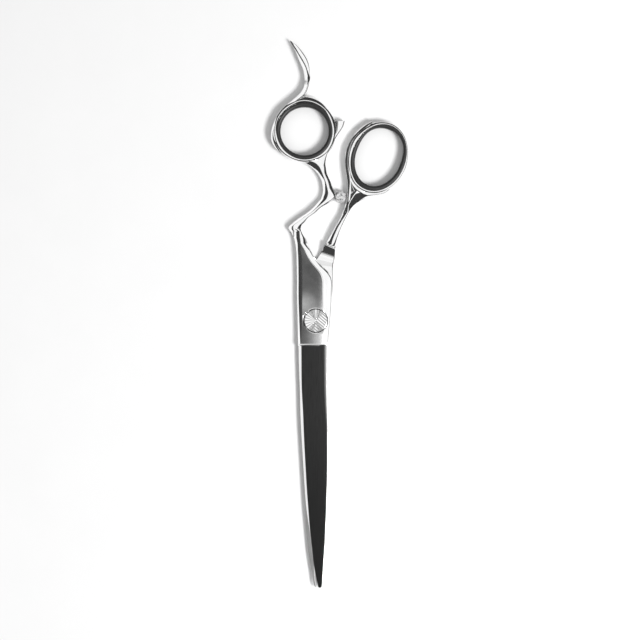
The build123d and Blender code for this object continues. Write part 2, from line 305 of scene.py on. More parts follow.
class Look(Graph):
    """Procedural material laid out in the coordinates of its object, in metres."""

    def __init__(self, name, metallic=0.0):
        self.material = bpy.data.materials.new(name)
        self.material.use_nodes = True
        super().__init__(self.material.node_tree)
        self.shader = self.nodes["Principled BSDF"]
        self.place = self.coords("Object")
        self.set("Metallic", metallic)

    def set(self, slot, value):
        self.shader.inputs[slot].default_value = value

    def mapped(self, scale, turn=0.0):
        """The place, turned about Z and stretched."""
        node = self.nodes.new("ShaderNodeMapping")
        node.inputs["Scale"].default_value = scale
        node.inputs["Rotation"].default_value = (0.0, 0.0, turn)
        self.links.new(self.place, node.inputs["Vector"])
        return node.outputs["Vector"]

    def noise(self, scale, detail=4.0, vector=None):
        node = self.nodes.new("ShaderNodeTexNoise")
        node.inputs["Scale"].default_value = scale
        node.inputs["Detail"].default_value = detail
        node.inputs["Roughness"].default_value = 0.6
        self.links.new(vector or self.place, node.inputs["Vector"])
        return node.outputs["Fac"]

    def bump(self, height, strength, distance):
        node = self.nodes.new("ShaderNodeBump")
        node.inputs["Strength"].default_value = strength
        node.inputs["Distance"].default_value = distance
        self.links.new(height, node.inputs["Height"])
        return node.outputs["Normal"]

    def multiply(self, first, second):
        node = self.nodes.new("ShaderNodeMath")
        node.operation = "MULTIPLY"
        self.links.new(first, node.inputs[0])
        self.links.new(second, node.inputs[1])
        return node.outputs["Value"]

    def pingpong(self, value, length):
        """Rises and falls between nothing and the length."""
        node = self.nodes.new("ShaderNodeMath")
        node.operation = "PINGPONG"
        node.inputs[1].default_value = length
        self.links.new(value, node.inputs[0])
        return node.outputs["Value"]

    def spot(self, centre, radius):
        """One at the centre, fading to nothing at the radius."""
        node = self.nodes.new("ShaderNodeVectorMath")
        node.operation = "DISTANCE"
        node.inputs[1].default_value = centre
        self.links.new(self.place, node.inputs[0])
        return self.fade(node.outputs["Value"], radius, 0.0)

    def finish(self, tone, gloss, relief):
        """Link colour, roughness and relief to the shader and hand over the material."""
        self.links.new(tone, self.shader.inputs["Base Color"])
        self.links.new(gloss, self.shader.inputs["Roughness"])
        self.links.new(relief, self.shader.inputs["Normal"])
        return self.material


GRAIN = 0.00002  # depth of polishing and brushing marks, in metres


def polished_steel():
    """Mirror finish with a faint haze and fine polishing marks."""
    look = Look("polished_steel", metallic=1.0)
    fine = look.noise(2600.0, 6.0)
    tone = look.ramp(look.noise(180.0), [(0.3, 0.92), (0.7, 0.97)])
    gloss = look.ramp(fine, [(0.3, 0.06), (0.75, 0.13)])
    return look.finish(tone, gloss, look.bump(fine, 0.05, GRAIN))


def satin_steel():
    """Brushed face with painted reflection: a soft painted light patch above the dial, and a
    brighter sheen painted on the blade side of it.
    """
    look = Look("satin_steel", metallic=1.0)
    lines = look.noise(2400.0, 5.0, look.mapped((4.0, 0.35, 1.0)))
    wide = look.noise(140.0, 3.0)
    place = look.split(look.place)
    # Painted reflection: these fades mark the blade side and right of the face, where a brighter
    # sheen is painted into the colour.
    along = look.fade(place["Y"], 0.011, -0.004)
    across = look.fade(place["X"], -0.006, 0.003)
    dark = look.ramp(wide, [(0.3, 0.075), (0.7, 0.12)])
    # Painted sheen tone, for the blade side.
    bright = look.ramp(wide, [(0.3, 0.36), (0.7, 0.5)])
    # Tone of the painted light patch above the dial.
    soft = look.ramp(wide, [(0.3, 0.34), (0.7, 0.46)])
    tone_with_painted_patch = look.blend(look.spot((-0.0055, 0.0065, 0.0056), 0.0075), dark, soft)
    tone = look.blend(look.multiply(along, across), tone_with_painted_patch, bright)
    gloss = look.ramp(lines, [(0.3, 0.22), (0.7, 0.34)])
    return look.finish(tone, gloss, look.bump(lines, 0.15, GRAIN))


def black_coating():
    """Matt black coating, a little lighter towards the pivot."""
    look = Look("black_coating")
    look.set("Specular IOR Level", 0.22)
    lines = look.noise(1500.0, 5.0, look.mapped((3.0, 0.12, 1.0)))
    along = look.fade(look.split(look.place)["Y"], -0.09, -0.02)
    dark = look.ramp(lines, [(0.3, 0.003), (0.7, 0.007)])
    light = look.ramp(lines, [(0.3, 0.01), (0.7, 0.022)])
    tone = look.blend(along, dark, light)
    gloss = look.ramp(lines, [(0.3, 0.3), (0.7, 0.42)])
    return look.finish(tone, gloss, look.bump(lines, 0.1, GRAIN))


def rubber():
    """Dark rubber of the ring inserts, slightly uneven and softly glossy."""
    look = Look("ring_rubber")
    look.set("Specular IOR Level", 0.38)
    fine = look.noise(3000.0)
    tone = look.ramp(look.noise(200.0, 3.0), [(0.3, 0.012), (0.7, 0.02)])
    gloss = look.ramp(fine, [(0.3, 0.36), (0.7, 0.5)])
    return look.finish(tone, gloss, look.bump(fine, 0.25, 0.00003))


def silicone():
    """Clear, slightly cloudy silicone of the bumper, its colour spotted dark and bright as painted
    reflection.
    """
    look = Look("clear_silicone")
    look.set("Transmission Weight", 0.55)
    look.set("IOR", 1.41)
    wide = look.noise(900.0, 2.0)
    # Painted reflection: dark and bright spots in the colour stand in for the button's highlights
    # and dark swirls.
    tone = look.ramp(wide, [(0.4, 0.25), (0.5, 0.95), (0.6, 1.0)])
    gloss = look.ramp(wide, [(0.3, 0.01), (0.7, 0.05)])
    return look.finish(tone, gloss, look.bump(wide, 0.4, 0.0001))


PAINTED_RAYS = 22  # painted highlight rays in the dial's sunburst
HATCH_TURN = math.radians(40)


def engraved():
    """Bright dial face: a painted sunburst of highlight rays on one side, engraved hatching on the
    other, two grey wedges of painted dark reflection between.
    """
    look = Look("dial_steel", metallic=1.0)
    turned_place = look.mapped((1.0, 1.0, 1.0), HATCH_TURN)
    hatch = look.nodes.new("ShaderNodeTexWave")
    hatch.bands_direction = "Y"
    hatch.inputs["Scale"].default_value = 320.0
    hatch.inputs["Distortion"].default_value = 0.6
    look.links.new(turned_place, hatch.inputs["Vector"])
    sweep = look.nodes.new("ShaderNodeTexGradient")
    sweep.gradient_type = "RADIAL"
    look.links.new(look.place, sweep.inputs["Vector"])
    bands, angle = hatch.outputs["Fac"], sweep.outputs["Fac"]
    # Painted highlight: bright rays in the colour, standing in for the dial's conic reflection.
    painted_ray_sheen = look.ramp(look.pingpong(angle, 0.5 / PAINTED_RAYS), [(0.0, 0.4), (0.36 / PAINTED_RAYS, 1.0)])
    lines = look.ramp(bands, [(0.2, 0.4), (0.62, 1.0)])
    # Puts the painted rays on one half of the face and the engraved hatching on the other.
    side = look.fade(look.split(turned_place)["X"], -0.0006, 0.0004)
    # Painted reflection: two grey wedges across the face, where the dial's reflection runs dark.
    dark_reflection_wedge_stops = [(0.11, 1.0), (0.16, 0.2), (0.2, 0.2), (0.24, 0.9)]
    dark_reflection_wedges = look.ramp(look.pingpong(angle, 0.25), dark_reflection_wedge_stops)
    fine = look.noise(1500.0)
    grey = look.ramp(fine, [(0.35, 0.1), (0.65, 0.6)])
    tone = look.blend(dark_reflection_wedges, grey, look.blend(side, painted_ray_sheen, lines))
    gloss = look.ramp(fine, [(0.3, 0.1), (0.7, 0.16)])
    return look.finish(tone, gloss, look.bump(bands, 0.15, GRAIN))


def turned(name, dark, light, metallic, roughness):
    """Plain machined or moulded surface with an even fine grain."""
    look = Look(name, metallic)
    fine = look.noise(1800.0, 5.0)
    tone = look.ramp(fine, [(0.3, dark), (0.7, light)])
    gloss = look.ramp(fine, [(0.3, roughness), (0.7, roughness + 0.12)])
    return look.finish(tone, gloss, look.bump(fine, 0.1, GRAIN))


STEEL = polished_steel()
SATIN = satin_steel()
BLACK = black_coating()
RUBBER = rubber()
CLEAR = silicone()
PIVOT = turned("pivot_steel", 0.5, 0.66, 1.0, 0.2)
NYLON = turned("nylon", 0.72, 0.82, 0.0, 0.45)
DIAL = engraved()
# Darker steel on the upper blade's cutting bevel and on the lip of its silver bevel.
DARK_EDGE = turned("dark_edge_steel", 0.08, 0.15, 1.0, 0.3)
HONED = turned("honed_steel", 0.46, 0.6, 1.0, 0.26)

HALF_MATERIALS = [STEEL, SATIN, BLACK, DARK_EDGE, HONED]
STEEL_SLOT, SATIN_SLOT, BLACK_SLOT, DARK_EDGE_SLOT, HONED_SLOT = range(5)

# ---------------------------------------------------------------- handles
RING_SLOPES = (36, 4, -35, -60)
LEAF_SLOPES = (14, 36, -6, -33, -58)
BAR_SLOPES = (56, 34, -5, -34, -58)
SPUR_SLOPES = (35, 6, -35, -58)
FAN_SLOPES = (55, 28, 23.5, 9)
FORK_SLOPES = (31, 23, 31, 4)
STEP_SLOPES = (-8, -56)
STEP_LEVEL = 5.2  # mid height of the bright step where the ricasso ends

FINGER_RING = [
    # angle, width, facet bounds
    (0, 1.45, 0.04, 0.42, 0.98), (18, 1.55, 0.04, 0.34, 0.98), (32, 1.8, 0.1, 0.4, 0.78),
    (45, 2.0, 0.3, 0.42, 0.72), (60, 2.35, 0.3, 0.42, 0.86), (75, 2.65, 0.32, 0.42, 0.9),
    (90, 2.75, 0.33, 0.43, 0.94), (102, 2.4, 0.35, 0.45, 0.95), (115, 1.8, 0.25, 0.42, 0.95),
    (130, 1.5, 0.2, 0.5, 0.95), (145, 1.5, 0.36, 0.5, 0.9), (160, 1.45, 0.36, 0.48, 0.97),
    (175, 1.45, 0.25, 0.42, 0.95), (190, 1.4, 0.05, 0.45, 0.9), (205, 1.4, 0.04, 0.5, 0.97),
    (220, 1.35, 0.04, 0.55, 0.9), (240, 1.3, 0.04, 0.45, 0.7), (255, 1.3, 0.12, 0.42, 0.7),
    (270, 1.3, 0.18, 0.44, 0.85), (285, 1.4, 0.18, 0.44, 0.85), (300, 1.5, 0.16, 0.5, 0.75),
    (315, 1.6, 0.14, 0.6, 0.8), (330, 1.6, 0.1, 0.5, 0.75), (345, 1.5, 0.04, 0.42, 0.9),
]
TANG_ROWS = [
    # left x, y, right x, y, crown, facet bounds
    (-10.85, 116.1, -10.65, 115.95, 0.5, 0.02, 0.9, 0.93, 0.96),
    (-9.5, 113.6, -8.2, 114.2, 1.2, 0.02, 0.36, 0.86, 0.96),
    (-8.0, 110.5, -5.6, 111.3, 1.6, 0.17, 0.34, 0.82, 0.95),
    (-6.6, 107.0, -3.5, 107.9, 1.8, 0.32, 0.46, 0.86, 0.96),
    (-5.2, 103.6, -2.55, 103.8, 1.9, 0.48, 0.62, 0.93, 0.97),
    (-4.8, 101.4, -2.4, 101.3, 1.95, 0.58, 0.9, 0.95, 0.98),
    (-4.65, 100.4, -2.35, 100.2, 2.0, 0.5, 0.98, 0.985, 0.99),
    (-4.65, 99.4, -2.55, 99.2, 2.0, 0.6, 0.97, 0.98, 0.99),
    (-4.75, 97.7, -3.0, 97.3, 2.05, 0.66, 0.72, 0.84, 0.97),
    (-6.0, 94.8, -4.5, 93.7, 2.2, 0.72, 0.75, 0.84, 0.96),
    (-8.4, 92.3, -7.4, 91.2, 2.35, 0.72, 0.75, 0.78, 0.95),
    (-11.2, 89.9, -10.3, 88.9, 2.4, 0.7, 0.73, 0.76, 0.97),
    (-14.1, 87.1, -13.1, 86.2, 2.45, 0.7, 0.73, 0.76, 0.97),
    (-16.4, 83.9, -15.1, 83.1, 2.45, 0.5, 0.53, 0.56, 0.98),
    (-17.8, 80.8, -16.3, 80.3, 2.45, 0.5, 0.53, 0.6, 0.98),
    (-18.55, 77.4, -16.6, 77.4, 2.45, 0.35, 0.48, 0.72, 0.95),
    (-18.4, 74.6, -16.2, 75.3, 2.4, 0.3, 0.55, 0.75, 0.95),
    (-17.3, 72.2, -15.4, 73.4, 2.3, 0.22, 0.65, 0.8, 0.97),
    (-15.6, 70.2, -14.6, 71.4, 2.2, 0.1, 0.6, 0.8, 0.97),
]
SPUR_ROWS = [
    # left x, y, right x, y, crown, facet bounds
    (7.9, 82.55, 11.95, 82.6, 2.0, 0.32, 0.9, 0.95),
    (7.7, 80.6, 11.1, 80.0, 2.1, 0.42, 0.9, 0.97),
    (7.3, 78.0, 9.6, 77.7, 2.2, 0.6, 0.84, 0.95),
    (6.7, 75.2, 7.9, 75.0, 2.3, 0.1, 0.7, 0.95),
    (5.0, 71.8, 6.0, 71.4, 2.4, 0.25, 0.8, 0.95),
    (2.8, 69.0, 4.5, 68.2, 2.45, 0.15, 0.85, 0.96),
    (1.0, 66.6, 3.95, 65.0, 2.5, 0.05, 0.82, 0.96),
    (1.5, 63.4, 4.2, 62.2, 2.45, 0.2, 0.6, 0.96),
]
FINGER_SHANK_ROWS = [
    # left x, y, right x, y, crown, facet bounds
    (-14.2, 69.3, -13.9, 69.7, 1.8, 0.2, 0.6, 0.8, 0.95),
    (-11.0, 67.4, -10.3, 68.4, 2.1, 0.1, 0.45, 0.72, 0.97),
    (-7.0, 65.8, -5.4, 67.3, 2.3, 0.08, 0.34, 0.56, 0.98),
    (-4.0, 64.9, -0.9, 67.2, 2.4, 0.04, 0.5, 0.62, 0.98),
    (-1.2, 63.0, 3.2, 66.2, 2.55, 0.06, 0.44, 0.94, 0.98),
    (1.1, 60.4, 4.45, 61.4, 2.6, 0.2, 0.48, 0.72, 0.96),
    (2.4, 57.8, 5.85, 57.9, 2.6, 0.33, 0.42, 0.72, 0.96),
    (2.95, 54.9, 7.1, 54.6, 2.6, 0.2, 0.43, 0.66, 0.96),
    (2.85, 52.9, 7.9, 52.4, 2.6, 0.17, 0.44, 0.82, 0.97),
    (2.4, 51.2, 7.9, 51.2, 2.6, 0.14, 0.42, 0.92, 0.97),
    (1.5, 49.7, 5.4, 48.8, 2.6, 0.22, 0.48, 0.8, 0.96),
    (-0.6, 47.3, 2.0, 46.7, 2.6, 0.4, 0.54, 0.8, 0.94),
    (-3.2, 45.0, -0.45, 44.4, 2.6, 0.4, 0.45, 0.8, 0.92),
    (-6.2, 42.9, -3.3, 42.2, 2.6, 0.36, 0.4, 0.8, 0.9),
    (-8.5, 41.3, -4.4, 40.4, 2.6, 0.3, 0.32, 0.72, 0.86),
    (-10.6, 39.5, -5.3, 39.0, 2.55, 0.22, 0.26, 0.66, 0.84),
    (-11.3, 38.5, -5.45, 37.8, 2.5, 0.2, 0.34, 0.62, 0.86),
    (-10.3, 36.8, -5.3, 36.8, 2.4, 0.2, 0.3, 0.5, 0.75),
]
STEP_ROWS = [
    # left x, y, right x, y, crown, facet bound of the bright step above the black face
    (-7.0, -9.6, -7.0, -10.3, 0.2, 0.4),
    (-6.4, -9.6, -6.4, -10.2, 0.38, 0.5),
    (-5.0, -9.6, -5.0, -10.1, 0.41, 0.55),
    (3.0, -9.6, 3.0, -10.1, 0.41, 0.55),
    (4.0, -9.6, 4.0, -10.2, 0.38, 0.5),
    (4.6, -9.6, 4.6, -10.4, 0.2, 0.4),
]
THUMB_RING = [
    # angle, width, facet bounds
    (0, 1.05, 0.3, 0.5, 0.9), (15, 1.15, 0.2, 0.42, 0.85), (30, 1.4, 0.15, 0.4, 0.85),
    (45, 1.6, 0.12, 0.3, 0.8), (60, 1.6, 0.15, 0.4, 0.8), (75, 1.6, 0.12, 0.6, 0.95),
    (90, 1.5, 0.15, 0.65, 0.95), (105, 1.5, 0.18, 0.6, 0.95), (120, 1.6, 0.2, 0.5, 0.9),
    (140, 1.9, 0.25, 0.45, 0.75), (155, 2.3, 0.28, 0.46, 0.7), (168, 2.4, 0.26, 0.43, 0.63),
    (180, 2.4, 0.25, 0.42, 0.62), (192, 2.2, 0.26, 0.43, 0.61), (205, 1.9, 0.3, 0.5, 0.64),
    (225, 1.6, 0.3, 0.6, 0.68), (250, 1.6, 0.28, 0.6, 0.68), (270, 1.5, 0.24, 0.6, 0.7),
    (290, 1.35, 0.28, 0.5, 0.6), (315, 1.2, 0.36, 0.5, 0.65), (340, 1.1, 0.34, 0.5, 0.8),
]
THUMB_LEAF_ROWS = [
    # left x, y, right x, y, crown, facet bounds
    (10.6, 44.2, 12.4, 44.2, 2.3, 0.3, 0.7, 0.95),
    (12.2, 47.5, 13.6, 47.7, 2.4, 0.15, 0.6, 0.9),
    (12.9, 50.8, 14.2, 51.0, 2.45, 0.2, 0.45, 0.6),
    (13.1, 54.1, 14.5, 54.6, 2.5, 0.1, 0.4, 0.6),
    (13.0, 57.0, 14.4, 58.0, 2.5, 0.1, 0.6, 0.8),
    (12.3, 61.6, 14.1, 62.3, 2.5, 0.1, 0.6, 0.85),
    (12.0, 66.4, 14.0, 66.9, 2.5, 0.06, 0.55, 0.8),
    (12.6, 70.7, 14.6, 70.6, 2.5, 0.1, 0.5, 0.8),
    (14.3, 74.8, 16.2, 74.0, 2.45, 0.15, 0.3, 0.8),
    (17.8, 79.1, 19.1, 78.0, 2.35, 0.2, 0.7, 0.9),
    (20.8, 81.3, 21.6, 80.4, 2.2, 0.2, 0.8, 0.95),
    (23.4, 82.5, 23.6, 82.1, 2.0, 0.2, 0.7, 0.95),
]
FORK_ROWS = [
    # right edge as an angle on the thumb ring and a distance from its hole, left x, y, crown, bounds
    (140.2, 1.55, 13.6, 60.0, 2.2, 0.04, 0.05, 0.06),
    (144.8, 1.55, 13.7, 58.5, 2.4, 0.3, 0.4, 0.5),
    (150, 1.6, 13.9, 57.0, 2.6, 0.4, 0.48, 0.58),
    (156, 1.6, 14.0, 55.2, 2.7, 0.45, 0.52, 0.66),
    (162, 1.6, 14.0, 53.4, 2.7, 0.48, 0.56, 0.76),
    (168, 1.6, 14.2, 51.6, 2.7, 0.54, 0.6, 0.82),
    (174, 1.6, 15.6, 50.8, 2.6, 0.54, 0.6, 0.82),
    (180, 1.6, 18.0, 51.2, 2.3, 0.54, 0.6, 0.74),
]
THUMB_SHANK_ROWS = [
    # left x, y, right x, y, crown, facet bounds
    (31.6, 56.4, 31.9, 56.0, 1.2, 0.1, 0.3, 0.5, 0.9),
    (28.5, 53.8, 28.9, 52.8, 2.1, 0.1, 0.3, 0.6, 0.7),
    (24.5, 53.2, 24.8, 51.8, 2.2, 0.1, 0.35, 0.7, 0.8),
    (20.4, 54.0, 21.9, 51.0, 2.3, 0.15, 0.32, 0.7, 0.8),
    (17.6, 55.0, 19.6, 50.1, 2.4, 0.02, 0.1, 0.42, 0.9),
    (15.6, 54.2, 17.8, 49.2, 2.5, 0.02, 0.3, 0.36, 0.98),
    (13.8, 52.5, 16.5, 48.4, 2.6, 0.02, 0.42, 0.48, 0.99),
    (12.3, 48.4, 14.8, 46.7, 2.6, 0.1, 0.42, 0.5, 0.99),
    (11.2, 45.0, 13.6, 44.8, 2.6, 0.2, 0.75, 0.9, 0.97),
    (9.8, 41.8, 11.8, 41.3, 2.6, 0.18, 0.52, 0.85, 0.97),
    (8.1, 38.9, 10.3, 38.1, 2.6, 0.14, 0.45, 0.9, 0.97),
    (6.4, 35.7, 9.1, 34.9, 2.6, 0.16, 0.46, 0.86, 0.97),
    (5.1, 33.5, 8.4, 32.4, 2.6, 0.22, 0.5, 0.8, 0.96),
    (4.4, 32.4, 8.15, 30.9, 2.45, 0.1, 0.55, 0.7, 0.9),
    (4.1, 31.9, 7.98, 29.9, 2.2, 0.05, 0.3, 0.6, 0.95),
]


def fork_rows():
    """Rows of the web in the thumb ring's fork, whose right edge follows the ring."""
    rows = []
    for angle, reach, x, y, *rest in FORK_ROWS:
        point, normal = oval(THUMB_C, *THUMB_HOLE, THUMB_TILT, math.radians(angle))
        rows.append((x, y, *(point + reach * normal), *rest))
    return rows


def finger_handle():
    """Ring, finger rest, spur and shank of the upper half, with its blade."""
    shell = Shell()
    ring(shell, FINGER_C, FINGER_HOLE, FINGER_HOLE, math.pi / 2, FINGER_RING, RING_SLOPES)
    strip(shell, TANG_ROWS, 260, LEAF_SLOPES)
    strip(shell, SPUR_ROWS, 110, SPUR_SLOPES)
    strip(shell, FINGER_SHANK_ROWS, 300, BAR_SLOPES)
    blade(shell, BLADE_ROWS, 1, BLACK_SLOT, DARK_EDGE_SLOT)
    strip(shell, STEP_ROWS, 40, STEP_SLOPES, STEP_LEVEL)
    return shell.build("finger_handle", HALF_MATERIALS)


def thumb_handle():
    """Ring, leaf beside it, fork and shank of the lower half, with its blade."""
    shell = Shell()
    ring(shell, THUMB_C, *THUMB_HOLE, THUMB_TILT, THUMB_RING, RING_SLOPES)
    strip(shell, THUMB_LEAF_ROWS, 200, FAN_SLOPES)
    strip(shell, fork_rows(), 80, FORK_SLOPES)
    strip(shell, THUMB_SHANK_ROWS, 260, BAR_SLOPES)
    blade(shell, THUMB_BLADE_ROWS, -1, STEEL_SLOT, STEEL_SLOT)
    return shell.build("thumb_handle", HALF_MATERIALS)


# ---------------------------------------------------------------- blades and ricassos
BLADE_ROWS = [
    # along, edge, spine, silver bevel, height of the face, bevel on the inner side
    (-10.0, -6.05, 5.1, 3.8, 2.38, 0.1),
    (-18.7, -6.0, 4.95, 3.85, 2.3, 0.1),
    (-28.6, -5.85, 4.9, 4.0, 2.2, 0.1),
    (-36.9, -5.4, 4.87, 4.35, 2.1, 0.1),
    (-43.0, -5.15, 4.9, 4.75, 2.0, 0.1),
    (-49.3, -4.9, 4.92, 4.86, 1.95, 0.1),
    (-59.7, -4.35, 4.9, 4.86, 1.8, 0.1),
    (-70.0, -3.75, 4.7, 4.66, 1.65, 0.1),
    (-78.3, -3.15, 4.45, 4.4, 1.5, 0.1),
    (-88.8, -2.3, 3.98, 3.94, 1.3, 0.1),
    (-96.7, -1.45, 3.5, 3.46, 1.15, 0.1),
    (-102.0, -0.75, 3.15, 3.12, 1.05, 0.1),
    (-106.0, 0.0, 2.85, 2.82, 0.95, 0.1),
    (-108.6, 0.55, 2.6, 2.57, 0.9, 0.1),
    (-109.8, 0.8, 2.38, 2.35, 0.8, 0.1),
    (-110.3, 1.0, 2.15, 2.13, 0.7, 0.05),
    (-110.5, 1.3, 1.85, 1.84, 0.6, 0.02),
]
THUMB_BLADE_ROWS = [
    # the same columns for the lower blade
    (-9.3, 4.4, -7.38, -6.2, 2.38, 0.2),
    (-18.7, 4.35, -7.2, -6.1, 2.3, 0.2),
    (-28.6, 4.15, -6.85, -5.9, 2.2, 0.22),
    (-39.8, 3.8, -6.6, -5.9, 2.05, 0.26),
    (-49.0, 3.4, -6.15, -5.9, 1.95, 0.3),
    (-59.7, 2.9, -5.55, -5.45, 1.8, 0.34),
    (-68.0, 2.4, -5.1, -5.0, 1.7, 0.4),
    (-74.0, 2.0, -4.8, -4.7, 1.6, 0.55),
    (-80.0, 1.6, -4.4, -4.3, 1.45, 0.8),
    (-86.5, 1.0, -3.95, -3.85, 1.35, 1.3),
    (-96.7, 0.15, -3.0, -2.9, 1.15, 1.5),
    (-103.3, -0.3, -1.9, -1.8, 1.0, 1.2),
    (-106.4, -0.3, -1.35, -1.28, 0.95, 0.8),
    (-109.0, -0.1, -0.8, -0.75, 0.85, 0.5),
    (-110.2, 0.0, -0.25, -0.2, 0.6, 0.2),
]
BEVEL_SLOPES = (25.3, 23.6, 21.0, 10.0)
INNER_SLOPE = 25.0
FACE_SHARES = (0.2, 0.4, 0.6, 0.8, 0.95)  # points across the crowned face
EDGE_HEIGHT = 0.12  # thickness left at the cutting edge
CUT_HEIGHT = 0.42  # thickness where the cutting bevel ends
CUT_SHARE = 0.05  # part of the width taken by the cutting bevel
RIDE_LINE = 1.4  # width of the bright line beside the inner bevel
RIDE_SHARE = 0.9  # share of the blade's width at which that line ends at the latest
WALL = 0.1  # least height of the wall at the spine
BLADE_GAP = 0.05  # from the mid plane to either blade's inner face


def blade(shell, rows, up, face_mat, line_mat):
    """Lofted blade: flat inside, crowned face, silver bevel at the spine. up is 1 or -1."""
    table = np.array([(0.0, y, 0.0, y, *rest) for y, *rest in rows])
    base = MID + up * BLADE_GAP
    parts = len(BEVEL_SLOPES)
    sections = []
    for row in spline(table, 260):
        y, edge, spine, bevel, high, inner = row[1], *row[4:]
        turn = math.copysign(1.0, edge - spine)
        cut_x = edge + CUT_SHARE * (spine - edge)
        points = [(edge, EDGE_HEIGHT), (cut_x, CUT_HEIGHT)]
        for f in FACE_SHARES:
            rise = 1 - (1 - f) ** 1.5
            points.append((cut_x + (bevel - cut_x) * f, CUT_HEIGHT + (high - CUT_HEIGHT) * rise))
        z = high
        for k, slope in enumerate(BEVEL_SLOPES):
            points.append((bevel + (spine - bevel) * k / parts, z))
            z -= abs(spine - bevel) / parts * math.tan(math.radians(slope))
        sink = inner * math.tan(math.radians(INNER_SLOPE))
        ride = min(inner + RIDE_LINE, RIDE_SHARE * abs(edge - spine))
        points += [(spine, z), (spine, min(sink, z - WALL)), (spine + turn * inner, 0.0)]
        points += [(spine + turn * ride, 0.0), (edge, 0.0)]
        sections.append([(x, y, base + up * z) for x, z in points])
    # cutting bevel, face, lip of the silver bevel; then four bevel facets, spine wall, inner bevel
    # and bright line in steel; the honed inner face and the blunt of the cutting edge close it
    face = [line_mat] + [face_mat] * len(FACE_SHARES) + [line_mat]
    mats = face + [STEEL_SLOT] * 7 + [HONED_SLOT, STEEL_SLOT]
    shell.loft(np.array(sections), (0, 1, 7, 11, 12, 13, 15), mats)


RICASSO_ROWS = [
    # left x, y, right x, y, crown, ends of: rim, slope, satin face, bevel, outer slope
    (-11.0, 38.4, -5.45, 38.5, 2.45, 0.12, 0.26, 0.28, 0.62, 0.85),
    (-10.1, 36.5, -5.4, 37.0, 2.5, 0.42, 0.72, 0.73, 0.8, 0.86),
    (-9.0, 34.1, -4.3, 34.5, 2.55, 0.19, 0.51, 0.52, 0.76, 0.9),
    (-8.5, 32.0, -3.3, 32.0, 2.6, 0.17, 0.4, 0.43, 0.64, 0.82),
    (-8.1, 28.9, -2.1, 28.9, 2.6, 0.1, 0.33, 0.6, 0.92, 0.96),
    (-7.95, 25.2, 0.1, 25.2, 2.6, 0.08, 0.3, 0.66, 0.95, 0.97),
    (-7.9, 22.4, 2.7, 22.4, 2.6, 0.06, 0.23, 0.69, 0.92, 0.97),
    (-7.85, 19.8, 5.3, 19.8, 2.6, 0.047, 0.18, 0.713, 0.94, 0.975),
    (-7.8, 17.3, 6.65, 17.3, 2.6, 0.04, 0.165, 0.715, 0.96, 0.98),
    (-7.8, 14.5, 6.75, 14.5, 2.6, 0.04, 0.16, 0.73, 0.972, 0.985),
    (-7.75, 8.0, 6.5, 8.0, 2.6, 0.04, 0.15, 0.747, 0.975, 0.985),
    (-7.55, 0.0, 5.95, 0.0, 2.6, 0.05, 0.14, 0.79, 0.976, 0.985),
    (-7.45, -5.0, 5.45, -5.0, 2.6, 0.06, 0.12, 0.85, 0.976, 0.985),
    (-7.35, -9.4, 5.1, -9.4, 2.6, 0.07, 0.1, 0.9, 0.976, 0.985),
]
RICASSO_SLOPES = (57, 29, 0.6, -20, -9, -33, -58)
SOFT_SHARE = 0.18  # part of the bevel that is ground steeper, next to the satin face
SOFT_RIDGES = (3, 4)  # ridges that stay smooth
SATIN_FACETS = slice(8, 12)  # the third facet, ground in four steps
END_RUN, END_FALL = 1.0, 0.45  # last stretch, which drops below the bright step


def ricasso(shell):
    """Upper pivot area: flat below, ground above, falling off under the bright step."""
    sections, sharp = [], []
    for row in lofted_rows(RICASSO_ROWS, 260):
        start, across = row[:2], row[2:4] - row[:2]
        soft = row[7] + SOFT_SHARE * (row[8] - row[7])
        bounds = [*row[5:8], soft, *row[8:]]
        top, sharp = ground_line(math.hypot(*across), bounds, RICASSO_SLOPES, row[4])
        line = [(*(start + across * v), MID + h) for v, h in top]
        line += [(row[2], row[3], UPPER_FACE), (row[0], row[1], UPPER_FACE)]
        sections.append(line)
    end = np.array(sections[-1])
    end[:, 1] -= END_RUN
    end[:-2, 2] -= END_FALL
    sections.append(end.tolist())
    n = len(sections[0])
    mats = [STEEL_SLOT] * n
    mats[SATIN_FACETS] = [SATIN_SLOT] * 4
    ridges = [j for k, j in enumerate(sharp) if k not in SOFT_RIDGES]
    shell.loft(np.array(sections), ridges + [n - 2, n - 1], mats)


THUMB_RICASSO_ROWS = [
    # left x, y, right x, y, ends of the belly face, level
    (4.3, 32.3, 8.1, 30.7, 0.12, 0.88, 4.9),
    (4.02, 31.8, 7.96, 29.9, 0.1, 0.9, 5.1),
    (3.8, 31.4, 7.93, 29.5, 0.1, 0.9, 4.45),
    (3.3, 30.53, 7.89, 28.62, 0.1, 0.9, 3.83),
    (2.8, 29.66, 7.85, 27.75, 0.1, 0.9, 3.22),
    (2.3, 28.8, 7.79, 26.9, 0.1, 0.9, 2.66),
    (1.95, 28.2, 7.73, 26.25, 0.1, 0.9, 2.33),
    (1.6, 27.6, 7.66, 25.65, 0.1, 0.9, 2.07),
    (1.2, 27.0, 7.58, 25.05, 0.1, 0.9, 1.89),
    (0.75, 26.35, 7.45, 24.5, 0.09, 0.9, 1.83),
    (0.2, 25.7, 7.25, 24.0, 0.08, 0.9, 1.92),
    (-2.0, 23.3, 7.05, 22.2, 0.08, 0.9, 2.75),
    (-3.2, 22.2, 7.0, 20.9, 0.07, 0.9, 2.93),
    (-6.2, 18.2, 7.1, 16.8, 0.06, 0.92, 2.95),
    (-7.1, 12.0, 6.8, 11.5, 0.06, 0.92, 2.95),
    (-7.4, 4.0, 5.9, 4.0, 0.06, 0.92, 2.95),
    (-7.4, -9.9, 4.4, -9.9, 0.06, 0.92, 2.95),
]
SIDE_FALL = 0.136
RIM_WIDTH = 0.3
BELLY = 0.4  # height of the lower face
BELLY_EDGE = 1.0  # height of its rims


